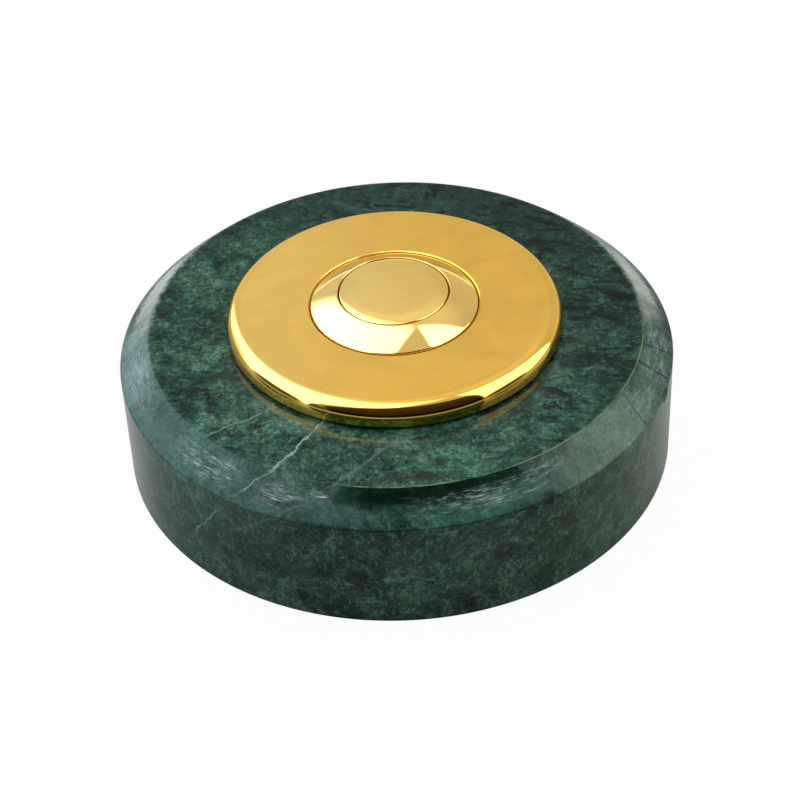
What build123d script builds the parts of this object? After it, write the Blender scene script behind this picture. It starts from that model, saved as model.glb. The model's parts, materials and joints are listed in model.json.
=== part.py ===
from build123d import *

import os

os.makedirs("parts", exist_ok=True)

# Doorbell button on a round marble base, in millimetres.
# The back of the stone lies on z = 0, the wall's face, and the button looks along +Z.

# Stone
stone_diameter = 84.0
stone_height = 21.9
stone_chamfer_width = 4.65
stone_chamfer_height = 4.2
stone_arris = 0.4
pocket_diameter = 48.0
pocket_depth = 13.4
stone_bore_clearance = 0.4

# Cover plate and the gasket under it
gasket_thickness = 0.35
gasket_setback = 0.7
plate_diameter = 50.6
plate_thickness = 3.4
plate_rim_radius = 2.3
plate_lower_arris = 0.25
counterbore_depth = 1.2
counterbore_clearance = 0.15
counterbore_edge_radius = 0.4

# Bezel and barrel
barrel_diameter = 22.0
barrel_clearance = 0.25
barrel_wall = 2.0
barrel_shoulder = 0.6
barrel_lip = 0.8
flange_overhang = 1.6
bezel_seal_thickness = 0.4
bezel_seal_setback = 0.3
cone_height = 2.15
cone_crown = 0.115
cone_edge_break = 0.2
flange_edge_break = 0.15
guide_thickness = 3.2
guide_clearance = 0.03

# Button, its stem and its seal
button_diameter = 16.4
button_clearance = 0.2
button_proud = 0.4
button_height = 5.0
button_dome_drop = 0.1
button_crown_width = 2.2
button_crown_drop = 0.42
button_edge_radius = 0.2
button_cup_diameter = 11.2
button_cup_depth = 2.4
stem_diameter = 5.0
travel = 1.6
stop_gap = 0.15
button_seal_section = 1.2
button_seal_running_gap = 0.1
seal_groove_slack = 0.15
seal_groove_floor_gap = 0.05

# Return spring
spring_wire = 0.6
spring_wire_sides = 8
spring_coil_diameter = 8.8
spring_turns = 4
spring_seat_depth = 1.2
spring_end_gap = 0.02

# Retaining clip on the stem
clip_thickness = 0.6
clip_diameter = 8.4
clip_groove_depth = 0.5
clip_mouth = 3.4
clip_end_gap = 0.05
clip_fit = 0.03

# Plunger and moving contact
spigot_diameter = 2.5
spigot_fit = 0.03
plunger_collar_diameter = 9.0
plunger_block_length = 6.0
plunger_collar_thickness = 1.2
plunger_floor = 1.2
bridge_overhang = 1.4
bridge_width = 4.0
bridge_thickness = 0.5
dome_setback = 2.1
dome_diameter = 1.8
dome_height = 0.5
contact_gap = 0.05
rivet_diameter = 1.6
rivet_head_diameter = 3.0
rivet_head_height = 0.5
rivet_depth = 0.9
rivet_fit = 0.03

# Terminal base, fixed contacts and wire clamps
terminal_clearance = 1.4
base_fit = 0.05
base_rim_thickness = 2.5
base_boss_height = 0.9
base_boss_setback = 1.6
post_length = 3.0
post_thickness = 1.2
post_gap = 0.25
post_rise = 0.6
collar_gap = 0.3
barrier_thickness = 1.0
barrier_length = 10.0
barrier_height = 2.0
strip_thickness = 0.6
strip_width = 4.0
strip_setback = 0.9
strip_upper_length = 3.3
strip_end_margin = 0.8
strip_slot_gap = 0.05
screw_setback = 2.4
screw_diameter = 3.0
screw_fit = 0.05
screw_hole_gap = 0.1
screw_grip = 2.2
screw_tip_gap = 0.2
screw_head_diameter = 4.4
screw_head_height = 1.8
screw_head_chamfer = 0.5
screw_slot_width = 0.7
screw_slot_depth = 0.8
clamp_side = 4.6
clamp_thickness = 0.6
clamp_corner = 0.5

# Snap ring under the terminal base
ring_thickness = 0.7
ring_width = 1.7
ring_groove_depth = 0.5
ring_fit = 0.05
ring_mouth = 6.0

# Nut and washers
cushion_thickness = 0.8
washer_diameter = 36.0
washer_thickness = 1.2
nut_across_flats = 27.0
nut_thickness = 4.0
nut_chamfer = 0.8
thread_fit = 0.03

# Threaded inserts in the back of the stone
insert_spacing = 66.0
insert_diameter = 6.0
insert_length = 10.0
insert_bore = 3.3
insert_bond = 0.05
insert_mouth = 0.5

# Radii that several pieces share
stone_radius = stone_diameter / 2
plate_radius = plate_diameter / 2
barrel_radius = barrel_diameter / 2
flange_radius = barrel_radius + flange_overhang
button_radius = button_diameter / 2
stem_radius = stem_diameter / 2
bezel_bore_radius = button_radius + button_clearance
passage_radius = barrel_radius + barrel_clearance
lower_bore_radius = barrel_radius - barrel_wall
chamber_radius = lower_bore_radius - barrel_shoulder
ring_groove_radius = lower_bore_radius + ring_groove_depth
cup_radius = button_cup_diameter / 2
coil_radius = spring_coil_diameter / 2
wire_radius = spring_wire / 2
spigot_radius = spigot_diameter / 2
clip_groove_radius = stem_radius - clip_groove_depth
seal_outer_radius = bezel_bore_radius - button_seal_running_gap
seal_inner_radius = seal_outer_radius - button_seal_section
base_boss_radius = lower_bore_radius - base_boss_setback
strip_reach = base_boss_radius - strip_setback
strip_upper_end = strip_reach - strip_upper_length
dome_offset = strip_reach - dome_setback
bridge_length = 2 * (dome_offset + bridge_overhang)
rivet_radius = rivet_diameter / 2
screw_radius = screw_diameter / 2
screw_offset = strip_reach - screw_setback
strip_lower_end = screw_offset - screw_radius - screw_hole_gap - strip_end_margin
insert_radius = insert_diameter / 2

# Heights from the stone upwards
plate_bottom = stone_height + gasket_thickness
plate_top = plate_bottom + plate_thickness
counterbore_floor = plate_top - counterbore_depth
flange_bottom = counterbore_floor + bezel_seal_thickness
cone_top = plate_top + cone_height
button_top = cone_top + button_proud
skirt_bottom = button_top - button_height
cup_ceiling = skirt_bottom + button_cup_depth

# Heights from the button's stop down to the clip on its stem
guide_top = skirt_bottom - travel - stop_gap
spring_seat = guide_top - spring_seat_depth
guide_bottom = guide_top - guide_thickness
clip_top = guide_bottom - clip_end_gap
clip_bottom = clip_top - clip_thickness

# Heights from the wall up to the moving contact and the stem's end
clamp_bottom = terminal_clearance + screw_head_height
strip_bottom = clamp_bottom + clamp_thickness
base_bottom = strip_bottom + strip_thickness
base_rim_bottom = base_bottom + base_boss_height
base_top = base_rim_bottom + base_rim_thickness
contact_top = base_top + strip_thickness
dome_tip = contact_top + contact_gap + travel
bridge_bottom = dome_tip + dome_height
bridge_top = bridge_bottom + bridge_thickness
post_top = bridge_top + post_rise
collar_bottom = post_top + travel + collar_gap
stem_end = collar_bottom + plunger_collar_thickness
spigot_end = bridge_top + plunger_floor
ring_bottom = base_rim_bottom - ring_thickness
barrel_bottom = ring_bottom - barrel_lip

# Heights from the pocket's ceiling down to the nut
cushion_bottom = pocket_depth - cushion_thickness
washer_bottom = cushion_bottom - washer_thickness
nut_bottom = washer_bottom - nut_thickness

# Marble base: turned disc with a chamfered shoulder, a bore and a pocket in its back
with BuildPart() as marble_base:
    with BuildSketch(Plane.XZ):
        with BuildLine():
            Polyline(
                (barrel_radius + stone_bore_clearance, stone_height),
                (stone_radius - stone_chamfer_width, stone_height),
                (stone_radius, stone_height - stone_chamfer_height),
                (stone_radius, 0),
                (pocket_diameter / 2, 0),
                (pocket_diameter / 2, pocket_depth),
                (barrel_radius + stone_bore_clearance, pocket_depth),
                close=True,
            )
        make_face()
    revolve(axis=Axis.Z)
    back_edges = marble_base.edges().filter_by(GeomType.CIRCLE).group_by(Axis.Z)[0]
    chamfer(back_edges, stone_arris)
    with BuildSketch(Plane.XY):
        with GridLocations(insert_spacing, 1, 2, 1):
            Circle(insert_radius + insert_bond)
    extrude(amount=insert_length, mode=Mode.SUBTRACT)

# Gasket under the plate
with BuildPart() as plate_gasket:
    with BuildSketch(Plane.XY.offset(stone_height)):
        Circle(plate_radius - gasket_setback)
        Circle(passage_radius, mode=Mode.SUBTRACT)
    extrude(amount=gasket_thickness)

# Cover plate: disc with a rounded rim, counterbored for the bezel
with BuildPart() as cover_plate:
    with BuildSketch(Plane.XY.offset(plate_bottom)):
        Circle(plate_radius)
    extrude(amount=plate_thickness)
    fillet(cover_plate.edges().sort_by(Axis.Z)[-1], plate_rim_radius)
    chamfer(cover_plate.edges().sort_by(Axis.Z)[0], plate_lower_arris)
    with Locations((0, 0, plate_top)):
        CounterBoreHole(passage_radius, flange_radius + counterbore_clearance, counterbore_depth)
    mouth = cover_plate.edges().filter_by(GeomType.CIRCLE).group_by(Axis.Z)[-1].sort_by(SortBy.RADIUS)[0]
    fillet(mouth, counterbore_edge_radius)

# Bezel and barrel: one turned piece with a faintly crowned cone, a guide for the stem and a shouldered bore
with BuildPart() as bezel_barrel:
    with BuildSketch(Plane.XZ):
        with BuildLine():
            cone_foot = (flange_radius - flange_edge_break, plate_top)
            cone = SagittaArc((bezel_bore_radius, cone_top), cone_foot, cone_crown)
            Polyline(
                cone @ 1,
                (flange_radius, plate_top - flange_edge_break),
                (flange_radius, flange_bottom),
                (barrel_radius, flange_bottom),
                (barrel_radius, barrel_bottom),
                (lower_bore_radius, barrel_bottom),
                (lower_bore_radius, ring_bottom - ring_fit),
                (ring_groove_radius, ring_bottom - ring_fit),
                (ring_groove_radius, base_rim_bottom),
                (lower_bore_radius, base_rim_bottom),
                (lower_bore_radius, base_top),
                (chamber_radius, base_top),
                (chamber_radius, guide_bottom),
                (stem_radius + guide_clearance, guide_bottom),
                (stem_radius + guide_clearance, spring_seat),
                (cup_radius, spring_seat),
                (cup_radius, guide_top),
                (bezel_bore_radius, guide_top),
                cone @ 0,
            )
        make_face()
    revolve(axis=Axis.Z)
    crest = bezel_barrel.edges().filter_by(GeomType.CIRCLE).sort_by(Axis.Z)[-1]
    chamfer(crest, cone_edge_break)

# Flat seal between the bezel's flange and the plate
with BuildPart() as bezel_seal:
    with BuildSketch(Plane.XY.offset(counterbore_floor)):
        Circle(flange_radius - bezel_seal_setback)
        Circle(passage_radius, mode=Mode.SUBTRACT)
    extrude(amount=bezel_seal_thickness)

# Push button: domed and crowned head, seal groove, spring cup and stem in one turned piece
groove_half_width = (button_seal_section + seal_groove_slack) / 2
groove_floor = seal_inner_radius - seal_groove_floor_gap
groove_middle = cup_ceiling
crown_start = button_radius - button_crown_width
crown_top = button_top - button_dome_drop
with BuildPart() as push_button:
    with BuildSketch(Plane.XZ):
        with BuildLine():
            face = TangentArc((0, button_top), (crown_start, crown_top), tangent=(1, 0))
            crown = TangentArc(face @ 1, (button_radius, crown_top - button_crown_drop), tangent=face % 1)
            Polyline(
                crown @ 1,
                (button_radius, groove_middle + groove_half_width),
                (groove_floor, groove_middle + groove_half_width),
                (groove_floor, groove_middle - groove_half_width),
                (button_radius, groove_middle - groove_half_width),
                (button_radius, skirt_bottom),
                (cup_radius, skirt_bottom),
                (cup_radius, cup_ceiling),
                (stem_radius, cup_ceiling),
                (stem_radius, clip_top),
                (clip_groove_radius, clip_top),
                (clip_groove_radius, clip_bottom),
                (stem_radius, clip_bottom),
                (stem_radius, stem_end),
                (spigot_radius, stem_end),
                (spigot_radius, spigot_end),
                (0, spigot_end),
                face @ 0,
            )
        make_face()
    revolve(axis=Axis.Z)
    turned_edges = push_button.edges().filter_by(lambda edge: edge.is_closed)
    fillet(turned_edges.sort_by(Axis.Z)[-2], button_edge_radius)

# Square-section sealing ring in the button's groove
with BuildPart() as button_seal:
    with BuildSketch(Plane.XY.offset(groove_middle)):
        Circle(seal_outer_radius)
        Circle(seal_inner_radius, mode=Mode.SUBTRACT)
    extrude(amount=button_seal_section / 2, both=True)

# Return spring between the guide's seat and the button's cup
spring_start = spring_seat + wire_radius + spring_end_gap
spring_rise = cup_ceiling - wire_radius - spring_end_gap - spring_start
with BuildPart() as return_spring:
    with BuildLine() as coil:
        Helix(spring_rise / spring_turns, spring_rise, coil_radius, center=(0, 0, spring_start))
    with BuildSketch(Plane(origin=coil.line @ 0, z_dir=coil.line % 0)):
        RegularPolygon(wire_radius, spring_wire_sides)
    sweep(is_frenet=True)

# Open clip in the stem's groove, stopped by the guide
with BuildPart() as retaining_clip:
    with BuildSketch(Plane.XY.offset(clip_bottom + clip_fit)):
        Circle(clip_diameter / 2)
        Circle(clip_groove_radius + clip_fit, mode=Mode.SUBTRACT)
        with Locations((0, clip_diameter / 2)):
            Rectangle(clip_mouth, clip_diameter, mode=Mode.SUBTRACT)
    extrude(amount=clip_thickness - 2 * clip_fit)

# Plunger: round collar over a block that slides between the guide posts
with BuildPart() as plunger:
    with BuildSketch(Plane.XY.offset(collar_bottom)):
        Circle(plunger_collar_diameter / 2)
    extrude(amount=stem_end - collar_bottom)
    with BuildSketch(Plane.XY.offset(bridge_top)):
        Rectangle(plunger_block_length, bridge_width)
    extrude(amount=collar_bottom - bridge_top)
    with Locations((0, 0, stem_end)):
        Hole(spigot_radius + spigot_fit, depth=stem_end - spigot_end)
    with BuildSketch(Plane.XY.offset(bridge_top)):
        Circle(rivet_radius + rivet_fit)
    extrude(amount=rivet_depth, mode=Mode.SUBTRACT)

# Moving contact: strip with a domed contact near each end
with BuildPart() as contact_bridge:
    with BuildSketch(Plane.XY.offset(bridge_bottom)):
        SlotOverall(bridge_length, bridge_width)
        Circle(rivet_radius + rivet_fit, mode=Mode.SUBTRACT)
    extrude(amount=bridge_thickness)
    with BuildSketch(Plane.XY.offset(dome_tip)):
        with GridLocations(2 * dome_offset, 1, 2, 1):
            Circle(dome_diameter / 2)
    extrude(amount=dome_height)
    dome_rims = contact_bridge.edges().filter_by(GeomType.CIRCLE).group_by(Axis.Z)[0]
    chamfer(dome_rims, dome_height / 2)

# Rivet that holds the strip to the plunger
with BuildPart() as bridge_rivet:
    with BuildSketch(Plane.XY.offset(bridge_bottom - rivet_head_height)):
        Circle(rivet_head_diameter / 2)
    extrude(amount=rivet_head_height)
    with BuildSketch(Plane.XY.offset(bridge_bottom)):
        Circle(rivet_radius)
    extrude(amount=bridge_thickness + rivet_depth - rivet_fit)
    chamfer(bridge_rivet.edges().sort_by(Axis.Z)[0], rivet_head_height / 2)

# Terminal base: flanged disc with guide posts, strip slots, screw holes and a barrier
slot_middle = strip_reach - strip_thickness / 2
with BuildPart() as terminal_base:
    with BuildSketch(Plane.XY.offset(base_rim_bottom)):
        Circle(lower_bore_radius - base_fit)
    extrude(amount=base_rim_thickness)
    with BuildSketch(Plane.XY.offset(base_bottom)):
        Circle(base_boss_radius)
    extrude(amount=base_boss_height)
    with BuildSketch(Plane.XY.offset(base_top)):
        with GridLocations(1, bridge_width + 2 * post_gap + post_thickness, 1, 2):
            Rectangle(post_length, post_thickness)
    extrude(amount=post_top - base_top)
    with BuildSketch(Plane.XY.offset(base_bottom)):
        Rectangle(barrier_thickness, barrier_length)
    extrude(amount=-barrier_height)
    with BuildSketch(Plane.XY.offset(base_bottom)):
        with GridLocations(2 * slot_middle, 1, 2, 1):
            Rectangle(strip_thickness + 2 * strip_slot_gap, strip_width + 2 * strip_slot_gap)
    extrude(amount=base_top - base_bottom, mode=Mode.SUBTRACT)
    with BuildSketch(Plane.XY.offset(base_bottom)):
        with GridLocations(2 * screw_offset, 1, 2, 1):
            Circle(screw_radius + screw_fit)
    extrude(amount=screw_grip + screw_tip_gap, mode=Mode.SUBTRACT)

# Fixed contact: strip folded over the base's top, through its slot and under it
with BuildPart() as fixed_contact_right:
    with BuildSketch(Plane.XZ):
        with BuildLine():
            Polyline(
                (strip_upper_end, contact_top),
                (strip_reach, contact_top),
                (strip_reach, strip_bottom),
                (strip_lower_end, strip_bottom),
                (strip_lower_end, base_bottom),
                (strip_reach - strip_thickness, base_bottom),
                (strip_reach - strip_thickness, base_top),
                (strip_upper_end, base_top),
                close=True,
            )
        make_face()
    extrude(amount=strip_width / 2, both=True)
    outer_folds = fixed_contact_right.edges().filter_by(Axis.Y).group_by(Axis.X)[-1]
    fillet(outer_folds, strip_thickness / 2)
    with BuildSketch(Plane.XY.offset(strip_bottom)):
        with Locations((screw_offset, 0)):
            Circle(screw_radius + screw_hole_gap)
    extrude(amount=strip_thickness, mode=Mode.SUBTRACT)

with BuildPart() as fixed_contact_left:
    add(mirror(fixed_contact_right.part, about=Plane.YZ, mode=Mode.PRIVATE))

# Square washers that clamp the bell wires
with BuildPart() as terminal_clamps:
    with BuildSketch(Plane.XY.offset(clamp_bottom)):
        with GridLocations(2 * screw_offset, 1, 2, 1):
            RectangleRounded(clamp_side, clamp_side, clamp_corner)
            Circle(screw_radius + screw_hole_gap, mode=Mode.SUBTRACT)
    extrude(amount=clamp_thickness)

# Terminal screws: pan heads with a slot, turned from the back
with BuildPart() as terminal_screws:
    with BuildSketch(Plane.XY.offset(terminal_clearance)):
        with GridLocations(2 * screw_offset, 1, 2, 1):
            Circle(screw_head_diameter / 2)
    extrude(amount=screw_head_height)
    chamfer(terminal_screws.edges().group_by(Axis.Z)[0], screw_head_chamfer)
    with BuildSketch(Plane.XY.offset(clamp_bottom)):
        with GridLocations(2 * screw_offset, 1, 2, 1):
            Circle(screw_radius)
    extrude(amount=clamp_thickness + strip_thickness + screw_grip)
    with BuildSketch(Plane.XY.offset(terminal_clearance)):
        with GridLocations(2 * screw_offset, 1, 2, 1):
            Rectangle(screw_slot_width, screw_head_diameter)
    extrude(amount=screw_slot_depth, mode=Mode.SUBTRACT)

# Open snap ring that holds the terminal base against its shoulder
ring_outer_radius = ring_groove_radius - ring_fit
with BuildPart() as snap_ring:
    with BuildSketch(Plane.XY.offset(ring_bottom)):
        Circle(ring_outer_radius)
        Circle(ring_outer_radius - ring_width, mode=Mode.SUBTRACT)
        with Locations((0, ring_outer_radius)):
            Rectangle(ring_mouth, ring_outer_radius, mode=Mode.SUBTRACT)
    extrude(amount=ring_thickness)

# Fibre and steel washers under the stone's web
with BuildPart() as cushion_washer:
    with BuildSketch(Plane.XY.offset(cushion_bottom)):
        Circle(washer_diameter / 2)
        Circle(passage_radius, mode=Mode.SUBTRACT)
    extrude(amount=cushion_thickness)

with BuildPart() as clamp_washer:
    with BuildSketch(Plane.XY.offset(washer_bottom)):
        Circle(washer_diameter / 2)
        Circle(passage_radius, mode=Mode.SUBTRACT)
    extrude(amount=washer_thickness)

# Thin hexagon nut with chamfered corners, flats square to the Y axis
nut_corner_radius = nut_across_flats / 3**0.5
with BuildPart() as lock_nut:
    with BuildSketch(Plane.XY.offset(nut_bottom)):
        RegularPolygon(nut_across_flats / 2, 6, major_radius=False)
        Circle(barrel_radius + thread_fit, mode=Mode.SUBTRACT)
    extrude(amount=nut_thickness)
    with BuildSketch(Plane.XZ):
        with BuildLine():
            Polyline(
                (0, nut_bottom),
                (nut_across_flats / 2, nut_bottom),
                (nut_corner_radius, nut_bottom + nut_chamfer),
                (nut_corner_radius, washer_bottom),
                (0, washer_bottom),
                close=True,
            )
        make_face()
    revolve(axis=Axis.Z, mode=Mode.INTERSECT)

# Threaded inserts bonded into the back of the stone
with BuildPart() as fixing_inserts:
    with BuildSketch(Plane.XY):
        with GridLocations(insert_spacing, 1, 2, 1):
            Circle(insert_radius)
            Circle(insert_bore / 2, mode=Mode.SUBTRACT)
    extrude(amount=insert_length)
    back_rims = fixing_inserts.edges().filter_by(GeomType.CIRCLE).group_by(Axis.Z)[0]
    chamfer(back_rims.group_by(SortBy.RADIUS)[0], insert_mouth)

pieces = {
    "marble_base": marble_base,
    "plate_gasket": plate_gasket,
    "cover_plate": cover_plate,
    "bezel_barrel": bezel_barrel,
    "bezel_seal": bezel_seal,
    "push_button": push_button,
    "button_seal": button_seal,
    "return_spring": return_spring,
    "retaining_clip": retaining_clip,
    "plunger": plunger,
    "contact_bridge": contact_bridge,
    "bridge_rivet": bridge_rivet,
    "terminal_base": terminal_base,
    "fixed_contact_right": fixed_contact_right,
    "fixed_contact_left": fixed_contact_left,
    "terminal_clamps": terminal_clamps,
    "terminal_screws": terminal_screws,
    "snap_ring": snap_ring,
    "cushion_washer": cushion_washer,
    "clamp_washer": clamp_washer,
    "lock_nut": lock_nut,
    "fixing_inserts": fixing_inserts,
}
for name, piece in pieces.items():
    piece.part.label = name
    export_step(piece.part, f"parts/{name}.step")
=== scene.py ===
import json
import math
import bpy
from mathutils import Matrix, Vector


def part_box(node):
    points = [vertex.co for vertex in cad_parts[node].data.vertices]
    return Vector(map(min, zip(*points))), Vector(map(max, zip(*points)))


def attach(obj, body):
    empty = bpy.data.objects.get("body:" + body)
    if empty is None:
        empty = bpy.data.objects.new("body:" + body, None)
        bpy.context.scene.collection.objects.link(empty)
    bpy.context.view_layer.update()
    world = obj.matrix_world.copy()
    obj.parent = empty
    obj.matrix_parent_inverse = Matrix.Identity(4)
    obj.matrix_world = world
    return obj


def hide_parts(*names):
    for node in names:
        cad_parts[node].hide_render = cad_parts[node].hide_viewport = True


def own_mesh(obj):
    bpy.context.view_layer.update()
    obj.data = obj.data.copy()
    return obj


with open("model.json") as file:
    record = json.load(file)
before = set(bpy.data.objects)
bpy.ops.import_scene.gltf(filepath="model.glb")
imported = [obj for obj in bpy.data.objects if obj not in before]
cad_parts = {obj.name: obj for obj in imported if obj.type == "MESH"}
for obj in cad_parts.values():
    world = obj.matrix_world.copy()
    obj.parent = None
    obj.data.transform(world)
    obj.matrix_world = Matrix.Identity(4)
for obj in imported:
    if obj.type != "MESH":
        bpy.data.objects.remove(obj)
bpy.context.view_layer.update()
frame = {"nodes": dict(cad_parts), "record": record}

from types import SimpleNamespace

import bpy
from mathutils import Matrix, Vector, noise

nodes = frame["nodes"]
mm = 0.001  # sizes below are in millimetres, Blender's are in metres
drawnWeld = 0.001  # points nearer than this become one, in an outline and in a finished shell
shellWeld = 0.002


# Node trees: sums on a wire add Math nodes, and Bench.add makes any other node
class Wire:
    def __init__(self, bench, socket):
        self.bench = bench
        self.socket = socket

    def sum(self, operation, *others):
        return self.bench.add("ShaderNodeMath", {"operation": operation}, dict(enumerate((self, *others))))

    def __add__(self, other):
        return self.sum("ADD", other)

    def __sub__(self, other):
        return self.sum("SUBTRACT", other)

    def __rsub__(self, other):
        return self * -1 + other

    def __mul__(self, other):
        return self.sum("MULTIPLY", other)

    def __truediv__(self, other):
        return self.sum("DIVIDE", other)

    def __pow__(self, other):
        return self.sum("POWER", other)

    def __abs__(self):
        return self.sum("ABSOLUTE")

    __radd__ = __add__
    __rmul__ = __mul__


class Bench:
    def __init__(self, owner):
        owner.use_nodes = True
        self.owner = owner
        self.tree = owner.node_tree
        self.tree.nodes.clear()

    def feed(self, socket, value):
        if isinstance(value, Wire):
            self.tree.links.new(value.socket, socket)
        elif socket.type == "RGBA" and len(value) == 3:
            socket.default_value = (*value, 1)
        else:
            socket.default_value = value

    def add(self, kind, settings=None, sockets=None, output=0):
        node = self.tree.nodes.new(kind)
        for name, value in (settings or {}).items():
            setattr(node, name, value)
        for name, value in (sockets or {}).items():
            self.feed(node.inputs[name], value)
        return Wire(self, node.outputs[output]) if node.outputs else node

    def place(self):  # object coordinates in millimetres
        spot = self.add("ShaderNodeTexCoord", output="Object")
        return self.add("ShaderNodeVectorMath", {"operation": "SCALE"}, {0: spot, "Scale": 1 / mm})

    def vector(self, operation, *values, output=0):
        return self.add("ShaderNodeVectorMath", {"operation": operation}, dict(enumerate(values)), output)

    def parts(self, vector):
        split = self.add("ShaderNodeSeparateXYZ", sockets={0: vector}).socket.node
        return [Wire(self, socket) for socket in split.outputs]

    def join(self, x, y, z):
        return self.add("ShaderNodeCombineXYZ", sockets={0: x, 1: y, 2: z})

    def noise(self, place, size, detail=4.0, rough=0.5, swirl=0.0, output=0):
        sockets = {
            "Vector": place, "Scale": 1 / size, "Detail": detail, "Roughness": rough, "Distortion": swirl,
        }
        return self.add("ShaderNodeTexNoise", sockets=sockets, output=output)

    def ease(self, value, low, high):  # 0 below low, 1 above high
        settings = {"interpolation_type": "SMOOTHSTEP"}
        return self.add("ShaderNodeMapRange", settings, {0: value, 1: low, 2: high})

    def mix(self, mask, under, over):
        return self.add("ShaderNodeMix", {"data_type": "RGBA"}, {0: mask, 6: under, 7: over}, 2)

    def ramp(self, value, stops):
        ramp = self.add("ShaderNodeValToRGB", sockets={0: value}).socket.node
        for number, (spot, colour) in enumerate(stops):
            elements = ramp.color_ramp.elements
            stop = elements[number] if number < 2 else elements.new(spot)
            stop.position = spot
            stop.color = (*colour, 1)
        return Wire(self, ramp.outputs[0])

    def turned(self, place, size):  # stretches a place along the rings of a turned surface
        x, y, z = self.parts(place)
        radius = (x * x + y * y) ** 0.5
        return self.join(x / radius * size, y / radius * size, z - radius)

    def bump(self, height, depth, under=None):
        sockets = {"Height": height, "Distance": depth * mm}
        if under:
            sockets["Normal"] = under
        return self.add("ShaderNodeBump", sockets=sockets)

    def surface(self, sockets):
        shader = self.add("ShaderNodeBsdfPrincipled", sockets=sockets)
        self.add("ShaderNodeOutputMaterial", sockets={"Surface": shader})
        return self.owner


def tone(red, green, blue):  # display numbers 0 to 255 as linear light
    shares = [number / 255 for number in (red, green, blue)]
    return tuple(((share + 0.055) / 1.055) ** 2.4 if share > 0.04 else share / 12.92 for share in shares)


def newFinish(name):
    return Bench(bpy.data.materials.new(name))


# Turning: an outline is drawn point by point at y = 0 and spun round the axis
def deselectAll():
    if bpy.context.object and bpy.context.object.mode == "EDIT":
        bpy.ops.object.mode_set(mode="OBJECT")
    bpy.ops.object.select_all(action="DESELECT")


def drawOutline(name, points):
    deselectAll()
    bpy.ops.mesh.primitive_plane_add(size=mm)
    piece = bpy.context.object
    piece.name = piece.data.name = name
    bpy.ops.object.mode_set(mode="EDIT")
    bpy.ops.mesh.merge(type="CENTER")
    bpy.ops.transform.translate(value=(points[0][0] * mm, 0, points[0][1] * mm))
    for here, there in zip(points, points[1:]):
        step = ((there[0] - here[0]) * mm, 0, (there[1] - here[1]) * mm)
        bpy.ops.mesh.extrude_vertices_move(TRANSFORM_OT_translate={"value": step})
    bpy.ops.mesh.select_all(action="SELECT")
    bpy.ops.mesh.remove_doubles(threshold=drawnWeld * mm)
    return piece


def selectCorner(piece, spot):
    bpy.ops.mesh.select_all(action="DESELECT")
    bpy.ops.object.mode_set(mode="OBJECT")
    goal = Vector((spot[0] * mm, 0, spot[1] * mm))
    nearest = min(piece.data.vertices, key=lambda vertex: (vertex.co - goal).length)
    nearest.select = True
    bpy.ops.object.mode_set(mode="EDIT")


def roundCorner(piece, spot, radius, steps):
    selectCorner(piece, spot)
    bpy.ops.mesh.bevel(offset=radius * mm, segments=steps, affect="VERTICES")


def spinOutline(piece, steps):
    bpy.ops.mesh.select_all(action="SELECT")
    bpy.ops.mesh.spin(steps=steps, angle=math.tau, center=(0, 0, 0), axis=(0, 0, 1))
    bpy.ops.mesh.select_all(action="SELECT")
    bpy.ops.mesh.remove_doubles(threshold=shellWeld * mm)
    bpy.ops.mesh.normals_make_consistent(inside=False)
    bpy.ops.object.mode_set(mode="OBJECT")


def smoothShell(piece, degrees=32):
    deselectAll()
    piece.select_set(True)
    bpy.context.view_layer.objects.active = piece
    bpy.ops.object.shade_smooth_by_angle(angle=math.radians(degrees))
    bpy.ops.object.modifier_add(type="WEIGHTED_NORMAL")
    piece.modifiers[-1].keep_sharp = True
    bpy.ops.object.modifier_apply(modifier=piece.modifiers[-1].name)


def fitPiece(piece, body, node, finish):
    piece.data.materials.clear()
    piece.data.materials.append(finish)
    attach(piece, body)
    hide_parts(node)
    print("made", piece.name, len(piece.data.polygons), "faces")


boxes = {node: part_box(node) for node in nodes}


def topOf(node):
    return boxes[node][1].z / mm


def bottomOf(node):
    return boxes[node][0].z / mm


def radiusOf(node):
    low, high = boxes[node]
    return (high.y - low.y) / 2 / mm


# Camera
camera = {
    "lookAt": (0.23, 0.0, 6.46),
    "elevation": 39.74,
    "distance": 344.4,
    "lens": 99.56,
    "roll": 2.53,
    "nearest": 10.0,
}


def setCamera():
    tilt, roll = math.radians(camera["elevation"]), math.radians(camera["roll"])
    back = Vector((0, -math.cos(tilt), math.sin(tilt)))
    side = Vector((1, 0, 0))
    up = back.cross(side)
    turnedSide = side * math.cos(roll) - up * math.sin(roll)
    turnedUp = side * math.sin(roll) + up * math.cos(roll)
    bpy.ops.object.camera_add()
    eye = bpy.context.object
    eye.name = "photoCamera"
    eye.data.lens = camera["lens"]
    eye.data.clip_start = camera["nearest"] * mm
    spot = (Vector(camera["lookAt"]) + back * camera["distance"]) * mm
    eye.matrix_world = Matrix.Translation(spot) @ Matrix((turnedSide, turnedUp, back)).transposed().to_4x4()
    bpy.context.scene.camera = eye


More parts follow.
